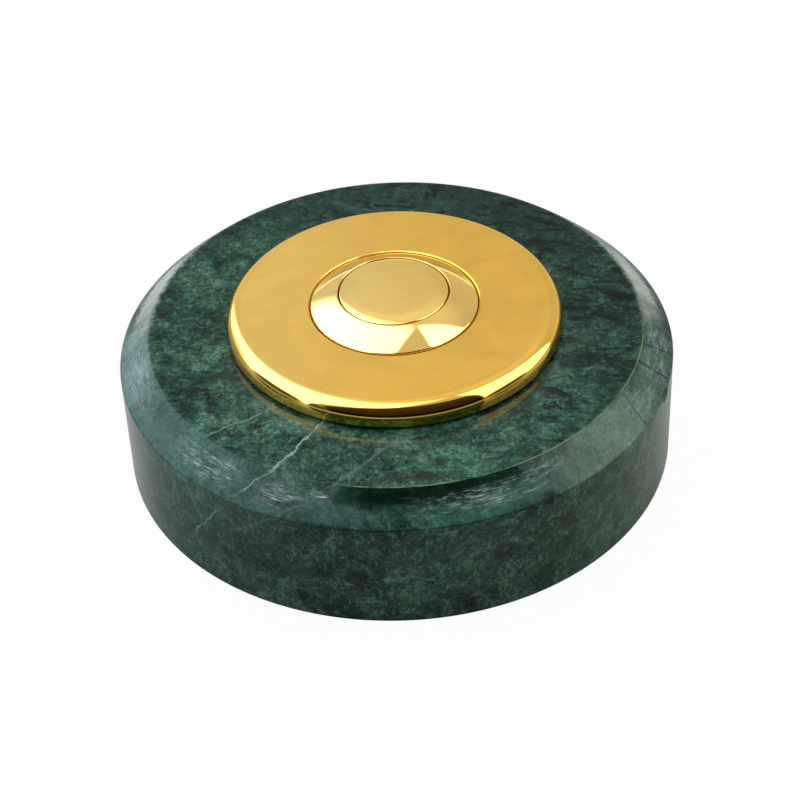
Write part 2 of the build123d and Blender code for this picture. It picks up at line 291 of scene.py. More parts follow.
# Studio: a white backdrop, two soft panels overhead and a darker side where the camera stands.
# Corners are on a plan of the sky, seen from above: +x right, +y away from the camera, rim at the horizon,
# and the third number is how far inside the edge that starts there the panel reaches its strength.
studio = {
    "walls": 0.5,
    "backdrop": 0.32,
    "backdropRise": (-0.2, 0.6),
    "overhead": 0.33,
    "overheadRise": (0.5, 0.85),
    "horizon": 0.7,
    "horizonHeight": 0.03,
    "horizonFade": (0.035, 0.015),
    "horizonSide": (0, 0.3),
    "ground": (-0.01, 0.02),
    "leftPanel": (
        (0.265, 0.13, 0.25), (-0.42, 0.80, 0.1), (-0.60, 0.90, 0.1),
        (-0.99, 0.30, 0.02), (-0.86, -0.55, 0.02), (-0.02, -0.29, 0.02),
    ),
    "leftStrength": 3.8,
    "rightPanel": (
        (0.265, 0.13, 0.02), (0.45, -0.17, 0.02), (0.80, -0.58, 0.02),
        (1.05, 0.1, 0.02), (1.05, 0.43, 0.02),
    ),
    "rightStrength": 3.9,
    "cameraSide": (
        (0.05, -0.32, 0.02), (-0.70, -0.60, 0.02), (-0.6, -1.1, 0.02),
        (0.8, -1.1, 0.02), (0.80, -0.56, 0.02), (0.47, -0.24, 0.02),
    ),
    "cameraShade": 0.91,
    "cameraTint": (1.0, 0.76, 0.55),
    "lowShade": 0.8,
    "lowRise": (0.36, 0.24),
    "lowSide": (0.3, 0),
    "softness": 0.02,
    "plainShare": 0.2,
    "floorGlow": 0.97,
    "floorColour": (0.5, 0.5, 0.5),
    "floorSize": 6.0,
    "floorGap": 0.02,
}


def panelMask(bench, x, y, corners):
    mask = 1
    for (ax, ay, fade), (bx, by, _) in zip(corners, corners[1:] + corners[:1]):
        length = math.hypot(bx - ax, by - ay)
        inside = (y - ay) * ((bx - ax) / length) - (x - ax) * ((by - ay) / length)
        mask = bench.ease(inside, -studio["softness"], fade) * mask
    return mask


def setStudio():
    world = bpy.data.worlds.new("studio")
    bpy.context.scene.world = world
    bench = Bench(world)
    x, y, z = bench.parts(bench.add("ShaderNodeTexCoord", output="Generated"))
    light = bench.add("ShaderNodeLightPath").socket.node
    isCamera = Wire(bench, light.outputs["Is Camera Ray"])
    isGlossy = Wire(bench, light.outputs["Is Glossy Ray"])
    above = bench.ease(z, *studio["ground"])
    panelShare = above * (isGlossy * (1 - studio["plainShare"]) + studio["plainShare"])
    level = bench.ease(y, *studio["backdropRise"]) * studio["backdrop"]
    level = level + bench.ease(z, *studio["overheadRise"]) * studio["overhead"] + studio["walls"]
    low = bench.ease(z, *studio["lowRise"]) * bench.ease(y, *studio["lowSide"])
    level = level * (1 - above * low * studio["lowShade"])
    shaded = panelMask(bench, x, y, studio["cameraSide"]) * above
    level = level * (1 - shaded * studio["cameraShade"])
    horizon = bench.ease(abs(z - studio["horizonHeight"]), *studio["horizonFade"])
    level = level + horizon * bench.ease(y, *studio["horizonSide"]) * studio["horizon"]
    level = level + panelMask(bench, x, y, studio["leftPanel"]) * panelShare * studio["leftStrength"]
    level = level + panelMask(bench, x, y, studio["rightPanel"]) * panelShare * studio["rightStrength"]
    level = level * (1 - isCamera) + isCamera
    colour = bench.mix(shaded * (1 - isCamera), (1, 1, 1), studio["cameraTint"])
    sky = bench.add("ShaderNodeBackground", sockets={"Color": colour, "Strength": level})
    bench.add("ShaderNodeOutputWorld", sockets={"Surface": sky})


def setFloor():
    deselectAll()
    bpy.ops.mesh.primitive_plane_add(size=studio["floorSize"], location=(0, 0, -studio["floorGap"] * mm))
    floor = bpy.context.object
    floor.name = "floor"
    bench = newFinish("paleFloor")
    seen = bench.add("ShaderNodeLightPath", output="Is Camera Ray")
    matt = bench.add("ShaderNodeBsdfDiffuse", sockets={"Color": studio["floorColour"]})
    glow = bench.add("ShaderNodeEmission", sockets={"Color": (1, 1, 1), "Strength": 1.0})
    pale = bench.add("ShaderNodeMixShader", sockets={0: seen * studio["floorGlow"], 1: matt, 2: glow})
    behind = bench.add("ShaderNodeNewGeometry", output="Backfacing")
    clear = bench.add("ShaderNodeBsdfTransparent")
    sheet = bench.add("ShaderNodeMixShader", sockets={0: behind, 1: pale, 2: clear})
    bench.add("ShaderNodeOutputMaterial", sockets={"Surface": sheet})
    floor.data.materials.append(bench.owner)


bpy.context.scene.view_settings.view_transform = "Standard"
setCamera()
setStudio()
setFloor()
print("camera and studio set")


# Marble base
marble = {
    "chamferWidth": 4.65,
    "chamferHeight": 4.2,
    "chamferCrown": 0.06,
    "edgeRound": 0.14,
    "roundSteps": 3,
    "smoothAngle": 28,
    "backArris": 0.4,
    "pocketRadius": 24.0,
    "pocketDepth": 13.4,
    "boreRadius": 11.4,
    "insertHole": 3.05,
    "insertDepth": 10.0,
    "insertSpread": 33.0,
    "drillSides": 64,
    "drillPast": 2.0,
    "steps": 720,
    "edgeRows": (0.3, 0.6, 0.95, 1.4),
    "sideRows": (1.9, 2.6),  # keep the side smooth below the chips
    # wear stays within this drop below the chamfer and this width of the top
    "wornDrop": 1.2,
    "wornWidth": 6.5,
    "chipGrain": 3.1,
    "chipRagged": 0.5,
    "chipFlat": 2.2,
    # chips: place, reach and depth
    "chips": (
        ((34.9, -13.2, 21.9), 0.9, 0.32),
        ((37.35, -0.2, 21.9), 0.6, 0.22),
        ((39.3, -14.6, 17.7), 1.5, 0.4),
        ((40.9, -9.3, 17.7), 0.8, 0.18),
        ((20.4, -36.7, 17.7), 0.9, 0.2),
        ((-22.5, -29.8, 21.9), 0.7, 0.16),
        ((-9.5, -36.2, 21.9), 0.8, 0.2),
    ),
}


def marbleOutline():
    height, radius = topOf("marble_base"), radiusOf("marble_base")
    inner = radius - marble["chamferWidth"]
    shoulder = height - marble["chamferHeight"]
    length = math.hypot(marble["chamferWidth"], marble["chamferHeight"])
    along = Vector((marble["chamferWidth"], -marble["chamferHeight"])) / length
    outward = Vector((-along.y, along.x))

    def onSlope(run):  # a point on the faintly crowned chamfer
        rise = 4 * marble["chamferCrown"] * run / length * (1 - run / length)
        return tuple(Vector((inner, height)) + along * run + outward * rise)

    rows = marble["edgeRows"]
    slope = [onSlope(run) for run in rows] + [onSlope(length / 2)]
    slope += [onSlope(length - run) for run in reversed(rows)]
    back, pocket, depth = marble["backArris"], marble["pocketRadius"], marble["pocketDepth"]
    points = [(marble["boreRadius"], height)]
    points += [(inner - row, height) for row in reversed(rows)] + [(inner, height)]
    points += slope + [(radius, shoulder)]
    points += [(radius, shoulder - row) for row in rows + marble["sideRows"]]
    points += [(radius, back), (radius - back, 0), (pocket + back, 0), (pocket, back), (pocket, depth)]
    points += [(marble["boreRadius"], depth), (marble["boreRadius"], height)]
    return points, (inner, height), (radius, shoulder)


def wearEdges(piece):  # a few chips are knocked out of the arrises
    height, radius = topOf("marble_base"), radiusOf("marble_base")
    lowest = height - marble["chamferHeight"] - marble["wornDrop"]
    centre = Vector((0, 0, height / 2))
    for vertex in piece.data.vertices:
        spot = vertex.co / mm
        if spot.z < lowest or spot.xy.length < radius - marble["wornWidth"]:
            continue
        inward = (centre - spot).normalized()
        ragged = 1 + marble["chipRagged"] * noise.noise(spot * marble["chipGrain"])
        bite = 0
        for place, reach, depth in marble["chips"]:
            near = 1 - (spot - Vector(place)).length / reach * ragged
            bite = max(bite, depth * min(1, max(0, near) * marble["chipFlat"]))
        vertex.co += inward * bite * mm


def cutHoles(piece):
    for side in (-1, 1):
        deselectAll()
        depth, past = marble["insertDepth"], marble["drillPast"]
        bpy.ops.mesh.primitive_cylinder_add(
            vertices=marble["drillSides"], radius=marble["insertHole"] * mm, depth=(depth + past) * mm,
            location=(side * marble["insertSpread"] * mm, 0, (depth - past) / 2 * mm),
        )
        drill = bpy.context.object
        cut = piece.modifiers.new("insertHole", "BOOLEAN")
        cut.object = drill
        cut.operation = "DIFFERENCE"
        cut.solver = "EXACT"
        deselectAll()
        bpy.context.view_layer.objects.active = piece
        bpy.ops.object.modifier_apply(modifier=cut.name)
        bpy.data.objects.remove(drill)


# Marble finish: places in millimetres on the stone, colours as they show
marbleLook = {
    "clouds": (
        (0.20, tone(9, 24, 19)),
        (0.40, tone(29, 58, 48)),
        (0.50, tone(42, 77, 64)),
        (0.60, tone(56, 97, 81)),
        (0.80, tone(94, 144, 124)),
    ),
    "paleGrain": tone(128, 160, 144),
    "deepGreen": tone(20, 42, 33),
    "darkStreak": tone(9, 19, 16),
    "maroon": tone(46, 33, 33),
    "paleVein": tone(150, 184, 174),
    "darkVein": tone(10, 22, 19),
    "sideGrey": tone(74, 88, 76),
    # colours of the painted sheen on the side, to the left and to the right
    "paintedSheenLeft": tone(88, 130, 126),
    "paintedSheenRight": tone(108, 146, 114),
    # colour of the painted dark reflection on the polished patches of the chamfer
    "paintedDarkReflection": tone(5, 26, 17),
    "fleck": tone(214, 236, 240),
    # colour of the painted highlight along the upper arris
    "edge": tone(132, 160, 122),
    # sizes of the patterns in millimetres, and how far the clouds are warped
    "warpSize": 14,
    "warpReach": 9,
    "cloudSize": 13,
    "mottleSize": 3.2,
    "grainSize": 0.8,
    "strandSize": 2.6,
    "sparkleSize": 0.45,
    "wispSize": 2.4,
    "bedding": (-14, (2.4, 0.9, 0.9)),
    "sideGreySize": 7,
    "raggedSize": 0.9,
    "unevenSize": 5.0,
    "ringSize": 0.14,
    "ringLength": 2.4,
    "clusterSize": 1.0,
    "clusterLength": 16,
    "wanderSize": 3.4,
    "wanderReach": 1.7,
    "brokenSize": 2.4,
    # layers on the chamfer: bearing and half span in degrees,
    # share down the slope and half span, strength, colour
    # these layers' colours are painted sheen; where they lie the chamfer is also honed and rougher
    "paintedSheenPatches": (
        (-56, 42, 0.50, 0.75, 0.62, tone(62, 98, 98)),
        (-60, 8, 0.75, 0.35, 0.40, tone(92, 128, 120)),
        (-84, 16, 0.50, 0.75, 0.70, tone(112, 146, 145)),
        (-108, 18, 0.20, 0.55, 0.75, tone(188, 199, 196)),
        (-12, 12, 0.66, 0.34, 0.50, tone(72, 106, 102)),
        (20, 20, 0.66, 0.42, 0.60, tone(64, 108, 96)),
        (48, 16, 0.55, 0.75, 0.66, tone(112, 138, 114)),
        (74, 17, 0.50, 0.75, 0.55, tone(88, 118, 102)),
        (106, 16, 0.25, 0.50, 0.75, tone(186, 196, 188)),
        (142, 20, 0.50, 0.75, 0.55, tone(92, 124, 116)),
        (176, 16, 0.50, 0.75, 0.60, tone(70, 104, 100)),
        (-146, 24, 0.50, 0.75, 0.60, tone(78, 112, 108)),
    ),
    # polished patches: a dark reflection is painted over them in deep green
    "polished": (
        (6, 24, 0.14, 0.36, 0.90),
        (-6, 4, 0.34, 0.26, 0.70),
        (4, 32, 1.02, 0.07, 0.75),
    ),
    "scratched": (
        (-80, 12, 0.42, 0.36, 0.55),
        (-44, 9, 0.46, 0.34, 1.00),
        (-26, 6, 0.52, 0.28, 0.90),
        (-18, 3, 0.30, 0.12, 0.90),
        (17, 14, 0.50, 0.28, 0.75),
        (31, 6, 0.36, 0.16, 0.65),
        (62, 6, 0.60, 0.34, 0.50),
        (79, 11, 0.50, 0.38, 0.75),
        (150, 12, 0.50, 0.36, 0.60),
        (-150, 14, 0.50, 0.36, 0.70),
    ),
    # spots: place, half length, half width, bearing of the length in degrees, maroon share
    "spots": (
        ((-29.5, -14.3, 21.9), 2.6, 1.1, 4, 0.1),
        ((33.8, 3.4, 21.9), 2.0, 1.0, 0, 0.0),
        ((27.2, 1.2, 21.9), 3.6, 1.0, -6, 0.0),
        ((32.6, -1.4, 21.9), 4.2, 1.0, -40, 0.0),
        ((26.0, -6.4, 21.9), 2.2, 1.2, -20, 0.0),
        ((28.8, -10.2, 21.9), 2.6, 1.6, -50, 0.0),
        ((32.0, -13.0, 21.9), 2.6, 0.8, -35, 0.0),
        ((-20.8, -23.2, 21.9), 1.5, 1.1, 10, 0.6),
        ((-23.6, -24.7, 21.9), 2.2, 1.2, 0, 0.2),
        ((5.5, -32.5, 21.9), 1.5, 1.0, 20, 0.9),
        ((2.3, -27.6, 21.9), 1.2, 0.8, 0, 0.6),
        ((1.0, -35.6, 21.9), 6.5, 1.2, 2, 0.8),
        ((-35.4, 3.8, 21.9), 1.6, 1.0, 0, 0.7),
        ((20.5, -36.6, 17.6), 2.2, 1.6, 30, 0.4),
        ((18.0, -38.0, 9.8), 1.1, 1.1, 0, 0.6),
        ((36.6, -20.5, 16.9), 1.2, 0.9, 60, 1.0),
        ((-14.8, -39.3, 3.9), 1.4, 1.6, 0, 0.0),
        ((-11.4, -40.4, 2.1), 2.2, 1.2, 0, 0.0),
    ),
    # veins are sheets through the stone: three points, half width, reach from the first two, pale share
    "veins": (
        ((-11.6, -23.8, 21.9), (-17.5, -32.0, 21.9), (-23.2, -33.5, 18.8), 0.16, 13.0, 1.0),
        ((-18.1, -19.1, 21.9), (-26.6, -24.2, 21.9), (-23.0, -22.0, 15.0), 0.16, 7.0, 0.8),
        ((-6.4, -33.4, 21.9), (-17.4, -37.8, 18.1), (-33.6, -25.3, 2.1), 0.2, 17.0, 0.35),
        ((35.0, -11.9, 21.9), (39.1, -11.8, 18.7), (36.5, -12.0, 17.0), 0.34, 4.5, 0.0),
        ((36.6, -7.8, 21.9), (40.5, -6.3, 18.6), (38.5, -7.4, 17.0), 0.28, 4.0, 0.0),
        ((32.6, -19.2, 21.0), (35.5, -21.8, 18.2), (33.6, -20.6, 17.0), 0.18, 3.4, 0.0),
        ((3.4, -34.1, 21.9), (7.2, -34.3, 21.9), (5.0, -34.4, 18.0), 0.14, 2.4, 0.45),
        ((-29.7, -29.7, 8.7), (-27.1, -32.1, 13.7), (-26.0, -28.0, 11.0), 0.2, 5.0, 0.9),
    ),
}


def stoneWires(bench):
    look = marbleLook
    place = bench.place()
    x, y, z = bench.parts(place)
    radius = (x * x + y * y) ** 0.5
    outer = radiusOf("marble_base")

    # clouds: a warped large tone, a mottle and a fine grain
    warp = bench.vector("SUBTRACT", bench.noise(place, look["warpSize"], 2, output=1), (0.5, 0.5, 0.5))
    warped = bench.vector("ADD", place, bench.vector("MULTIPLY", warp, (look["warpReach"],) * 3))
    cloud = bench.noise(warped, look["cloudSize"], 3, 0.55)
    mottle = bench.noise(warped, look["mottleSize"], 7, 0.72, 0.5)
    grain = bench.noise(place, look["grainSize"], 4, 0.65, 1.0)
    return SimpleNamespace(
        place=place, x=x, y=y, z=z, radius=radius,
        top=topOf("marble_base"), outer=outer, inner=outer - marble["chamferWidth"],
        bearing=x.sum("ARCTAN2", y * -1) * (180 / math.pi),
        side=bench.ease(radius, outer - 0.1, outer - 0.02),
        warped=warped, cloud=cloud, mottle=mottle, grain=grain,
        depth=cloud * 0.7 + mottle * 0.75 + grain * 1.1 - 0.775,
        ragged=bench.noise(place, look["raggedSize"], 4, 0.7),
        uneven=bench.noise(place, look["unevenSize"], 4, 0.65) - 0.5,
        rings=bench.noise(bench.turned(place, look["ringLength"]), look["ringSize"], 5, 0.7),
    )


def clouded(bench, stone):  # clouds with hair-thin pale strands and a sparkle
    look, side = marbleLook, stone.side
    colour = bench.ramp(stone.depth, look["clouds"])
    strand = bench.noise(stone.warped, look["strandSize"], 4, 0.6, 0.8)
    strands = bench.ease(abs(strand - 0.5), 0.022, 0.002) * bench.ease(stone.mottle, 0.44, 0.58)
    sparkle = bench.ease(bench.noise(stone.place, look["sparkleSize"], 1), 0.64, 0.74)
    sparkle = sparkle * bench.ease(stone.cloud, 0.42, 0.58)
    colour = bench.mix(strands * (0.3 + side * 0.4), colour, look["paleGrain"])
    return bench.mix(sparkle * (0.25 + side * 0.5), colour, look["paleGrain"])


def wispy(bench, stone, colour):  # dark wisps along the slab's bedding, thickest on the right and at the back, and a deeper green towards the back
    look = marbleLook
    turn, stretch = look["bedding"]
    bedding = bench.add(
        "ShaderNodeMapping", {"vector_type": "TEXTURE"},
        {"Vector": stone.warped, "Rotation": (0, 0.1, math.radians(turn)), "Scale": stretch},
    )
    wisps = bench.noise(bedding, look["wispSize"], 8, 0.7, 0.7)
    region = bench.ease(stone.x * 0.6 + stone.y * 0.35 + (stone.cloud - 0.5) * 50, -6, 18)
    colour = bench.mix(region * 0.32 + bench.ease(stone.y, 14, 28) * 0.42, colour, look["deepGreen"])
    return bench.mix(bench.ease(wisps, 0.52, 0.575) * (region * 0.8 + 0.12), colour, look["darkStreak"])


def sided(bench, stone, colour):  # the side is greyer in places, with a painted sheen towards the left and right
    look, turn = marbleLook, abs(stone.bearing)
    grey = bench.ease(bench.noise(stone.warped, look["sideGreySize"], 4, 0.6), 0.45, 0.65)
    colour = bench.mix(stone.side * grey * 0.2, colour, look["sideGrey"])
    paintedSideSheen = bench.mix(bench.ease(stone.x, -10, 10), look["paintedSheenLeft"], look["paintedSheenRight"])
    paintedSheen = bench.ease(turn, 10, 85) * bench.ease(turn, 165, 105)
    return bench.mix(stone.side * paintedSheen * (0.1 + stone.depth * 0.8), colour, paintedSideSheen)


# chamfer: rougher where it is honed and painted with a pale sheen there, a painted dark reflection in deep
# green where it is polished, with clusters of pale scratches
def chamfered(bench, stone, colour):
    look, radius, inner, ragged = marbleLook, stone.radius, stone.inner, stone.ragged
    web = marble["pocketDepth"]
    sloping = bench.ease(radius, stone.outer - 0.02, stone.outer - 0.1) * bench.ease(stone.z, web, web + 1)
    soft = sloping * bench.ease(radius + (ragged - 0.5) * 2, inner - 0.7, inner + 0.5)
    sharp = sloping * bench.ease(stone.z, stone.top - 0.02, stone.top - 0.12)
    sharp = sharp * bench.ease(radius, inner - 1, inner)
    down = (radius - inner) / marble["chamferWidth"]

    def patch(middle, span, share, shareSpan):
        between = 180 - abs(180 - abs(stone.bearing - middle))
        across = bench.ease(between / span + stone.uneven * 1.1, 1.35, 0.15)
        return bench.ease(abs(down - share) / shareSpan + (ragged - 0.5) * 0.9, 1.15, 0.5) * across

    honed = 0
    # painted sheen layers; honed also makes these parts of the chamfer rougher and bumpier
    for *spread, strength, shade in look["paintedSheenPatches"]:
        layer = patch(*spread) * soft * strength
        paintedSheen = bench.add(
            "ShaderNodeVectorMath", {"operation": "SCALE"},
            {0: shade, "Scale": stone.depth * 1.5 + stone.rings * 0.8},
        )
        colour = bench.mix(layer, colour, paintedSheen)
        honed = layer.sum("MAXIMUM", honed)
    # painted dark reflection where the chamfer is polished
    for *spread, strength in look["polished"]:
        colour = bench.mix(patch(*spread) * sharp * strength, colour, look["paintedDarkReflection"])
    turned = bench.turned(stone.place, look["clusterLength"])
    cluster = bench.ease(bench.noise(turned, look["clusterSize"], 3, 0.6), 0.40, 0.60)
    scratches = 0
    for *spread, strength in look["scratched"]:
        scratches = (patch(*spread) * strength).sum("MAXIMUM", scratches)
    scratches = scratches * cluster * sharp
    colour = bench.mix(scratches * (0.03 + bench.ease(stone.rings, 0.49, 0.62)), colour, look["fleck"])
    return colour, honed


def spotted(bench, stone, colour):
    look = marbleLook
    for spot, length, width, turn, redness in look["spots"]:
        sockets = {"Vector": stone.place, "Location": spot, "Scale": (length, width, width)}
        sockets["Rotation"] = (0, 0, math.radians(turn))
        local = bench.add("ShaderNodeMapping", {"vector_type": "TEXTURE"}, sockets)
        away = bench.vector("LENGTH", local, output="Value") + (stone.ragged - 0.5) * 2.4
        shade = tuple(a + (b - a) * redness for a, b in zip(look["darkStreak"], look["maroon"]))
        colour = bench.mix(bench.ease(away, 1.1, 0.3) * 0.7, colour, shade)
    return colour


def veined(bench, stone, colour):
    look = marbleLook
    wander = (bench.noise(stone.place, look["wanderSize"], 5, 0.65) - 0.5) * look["wanderReach"]
    broken = bench.noise(stone.place, look["brokenSize"], 2)
    for first, second, third, halfWidth, reach, paleness in look["veins"]:
        start, middle, deep = Vector(first), Vector(second), Vector(third)
        across = (middle - start).cross(deep - start).normalized()
        apart = bench.vector("SUBTRACT", stone.place, start)
        off = abs(bench.vector("DOT_PRODUCT", apart, across, output="Value") + wander)
        spread = bench.vector("DISTANCE", stone.place, (start + middle) / 2, output="Value")
        mask = bench.ease(off, halfWidth, halfWidth * 0.2) * bench.ease(spread, reach, reach * 0.7)
        mask = mask * bench.ease(broken, 0.25, 0.5)
        shade = tuple(a + (b - a) * paleness for a, b in zip(look["darkVein"], look["paleVein"]))
        colour = bench.mix(mask * 0.75, colour, shade)
    return colour


def paintedArrisHighlight(bench, stone, colour):  # painted highlight: a thin broken pale line along the upper arris
    arris = bench.ease(abs(stone.radius - stone.inner), 0.14, 0.04)
    arris = arris * bench.ease(stone.z, stone.top - 0.4, stone.top - 0.25)
    arris = arris * bench.ease(stone.bearing, -22, -8) * bench.ease(stone.bearing, 170, 130)
    return bench.mix(arris * bench.ease(stone.uneven, -0.12, 0.05) * 0.6, colour, marbleLook["edge"])


def marbleFinish():
    bench = newFinish("greenMarble")
    stone = stoneWires(bench)
    colour = sided(bench, stone, wispy(bench, stone, clouded(bench, stone)))
    colour, honed = chamfered(bench, stone, colour)
    for layer in (spotted, veined, paintedArrisHighlight):
        colour = layer(bench, stone, colour)

    # polished top, best round the front of the plate, softer side, honed patches
    nearPlate = bench.ease(stone.radius, 30, 28) * bench.ease(stone.y, 0, -8)
    nearPlate = nearPlate * bench.ease(stone.z, stone.top - 0.5, stone.top - 0.1)
    sideGloss = 0.25 + bench.ease(abs(stone.bearing), 45, 80) * 0.75
    scratch = bench.bump(stone.rings * honed, 0.05)
    pores = bench.bump(stone.mottle * 0.3 + stone.grain * 0.2, 0.004, scratch)
    return bench.surface({
        "Base Color": colour,
        "Roughness": 0.06 + stone.side * 0.1 + honed * 0.4 + stone.grain * 0.03,
        "Specular IOR Level": 0.08,
        "Coat Weight": 0.03 + stone.side * sideGloss + nearPlate * 0.2,
        "Coat Roughness": 0.06,
        "Normal": pores,
    })


def makeMarble():
    points, upperEdge, lowerEdge = marbleOutline()
    piece = drawOutline("marbleBase", points)
    roundCorner(piece, upperEdge, marble["edgeRound"], marble["roundSteps"])
    roundCorner(piece, lowerEdge, marble["edgeRound"], marble["roundSteps"])
    spinOutline(piece, marble["steps"])
    wearEdges(piece)
    cutHoles(piece)
    smoothShell(piece, marble["smoothAngle"])
    fitPiece(piece, "base", "marble_base", marbleFinish())


makeMarble()


# Brass finishes: a mirror polish under clear lacquer, with faint wiping marks and a few specks, a painted
# paler sheen towards the left and painted shadow in the seams
goldLook = {
    "colour": (0.82, 0.485, 0.08),
    # paler colour of the painted sheen towards the left
    "paintedLeftSheen": (0.90, 0.59, 0.145),
    "paintedLeftSheenReach": 26,
    "grazing": (0.98, 0.88, 0.62),
    "roughness": 0.04,
    "marks": 0.04,
    "specks": 0.12,
    "coat": 0.2,
    # painted shadow rings in the seams between parts: radius, half width, top
    "paintedSeamShadows": ((12.78, 0.2, 25.57),),
}
paleLook = {
    # paler colour of the painted sheen towards the left
    "colour": (0.83, 0.56, 0.155),
    "paintedLeftSheen": (0.89, 0.64, 0.22),
    "paintedLeftSheenReach": 9,
    "grazing": (0.98, 0.88, 0.64),
    "roughness": 0.04,
    "marks": 0.03,
    "specks": 0.05,
    "coat": 0.15,
    # painted shadow rings in the seams between parts: radius, half width, top
    "paintedSeamShadows": ((12.62, 0.14, 25.62), (8.3, 0.22, 27.6)),
}
# colour of the painted shadow in the seams
paintedSeamShadowColour = (0.58, 0.30, 0.015)


def polishedFinish(name, look):
    bench = newFinish(name)
    place = bench.place()
    x, y, z = bench.parts(place)
    radius = (x * x + y * y) ** 0.5
    drift = bench.noise(place, 11, 3, 0.5, 0.8)
    wipe = bench.add(
        "ShaderNodeMapping", {"vector_type": "TEXTURE"},
        {"Vector": place, "Rotation": (0, 0, math.radians(24)), "Scale": (9, 1.6, 4)},
    )
    streaks = bench.noise(wipe, 1.0, 5, 0.6, 0.3)
    dust = bench.ease(bench.noise(place, 0.55, 1), 0.80, 0.84)
    # painted sheen: the brass is painted paler towards the left, where the light falls
    reach = look["paintedLeftSheenReach"]
    paintedLeftSheen = bench.ease(y * 0.15 - x * 0.8 + (drift - 0.5) * reach * 0.4, reach * -0.3, reach * 0.85)
    colour = bench.mix(paintedLeftSheen, look["colour"], look["paintedLeftSheen"])
    tarnish = bench.ease(drift, 0.3, 0.7) * 0.1 + bench.ease(streaks, 0.4, 0.8) * 0.06
    colour = bench.mix(tarnish, colour, (0, 0, 0))
    colour = bench.mix(dust * look["specks"], colour, (0.25, 0.16, 0.05))

    # painted shadow: the seams between parts are painted brown, dull and not metallic
    paintedSeamShadow = 0
    for middle, span, high in look["paintedSeamShadows"]:
        band = bench.ease(abs(radius - middle), span, span * 0.8) * bench.ease(z, high, high - 0.06)
        paintedSeamShadow = band.sum("MAXIMUM", paintedSeamShadow)
    colour = bench.mix(paintedSeamShadow, colour, paintedSeamShadowColour)
    roughness = look["roughness"] + streaks * look["marks"] * 0.6 + dust * 0.2 + paintedSeamShadow * 0.5
    ripple = bench.bump(bench.noise(place, 7, 2), 0.01)
    return bench.surface({
        "Base Color": colour,
        "Metallic": 1 - paintedSeamShadow,
        "Roughness": roughness,
        "Specular Tint": look["grazing"],
        "Coat Weight": look["coat"] * (1 - paintedSeamShadow),
        "Coat Roughness": 0.03,
        "Normal": ripple,
    })


# Cover plate
plate = {
    "passage": 11.25,
    "lowerArris": 0.25,
    "rimRadius": 2.3,
    "rimSteps": 32,
    "counterboreRadius": 12.75,
    "counterboreDepth": 1.2,
    "mouthRound": 0.4,
    "mouthSteps": 8,
    "steps": 360,
}


def makePlate():
    low, high, radius = bottomOf("cover_plate"), topOf("cover_plate"), radiusOf("cover_plate")
    passage, bore = plate["passage"], plate["counterboreRadius"]
    floor, arris = high - plate["counterboreDepth"], plate["lowerArris"]
    points = [
        (passage, low), (radius - arris, low), (radius, low + arris), (radius, high), (bore, high),
        (bore, floor), (passage, floor), (passage, low),
    ]
    piece = drawOutline("coverPlate", points)
    roundCorner(piece, (radius, high), plate["rimRadius"], plate["rimSteps"])
    roundCorner(piece, (bore, high), plate["mouthRound"], plate["mouthSteps"])
    spinOutline(piece, plate["steps"])
    smoothShell(piece)
    fitPiece(piece, "base", "cover_plate", polishedFinish("goldBrass", goldLook))


makePlate()


# Bezel and barrel, with the thread cut on the barrel's lower end
bezel = {
    "bore": 8.4,
    "crest": 27.8,
    "faceCrown": 0.115,
    "faceSteps": 12,
    "flangeBottom": 24.85,
    "barrelRadius": 11.0,
    "lowerBore": 9.0,
    "ringGroove": (4.55, 5.3, 9.5),
    "chamber": (7.8, 8.4),
    "guideBottom": 18.25,
    "guideBore": 2.53,
    "springSeat": 20.25,
    "springPocket": 5.6,
    "guideTop": 21.45,
    "crestRound": 0.2,
    "crestSteps": 5,
    "lipBreak": 0.15,
    "lipSteps": 4,
    "threadPitch": 1.0,
    "threadDepth": 0.5,
    "threadTop": 12.5,
    "threadRows": 10,  # rows of faces to each turn
    "footBreak": 0.45,
    "touch": 0.01,  # nearer than this counts as on a face
    "steps": 240,
}


def crownPoint(start, end, share):  # a point on the faintly crowned cone
    run = Vector(end) - Vector(start)
    outward = Vector((-run.y, run.x)).normalized()
    return tuple(Vector(start) + run * share + outward * 4 * bezel["faceCrown"] * share * (1 - share))


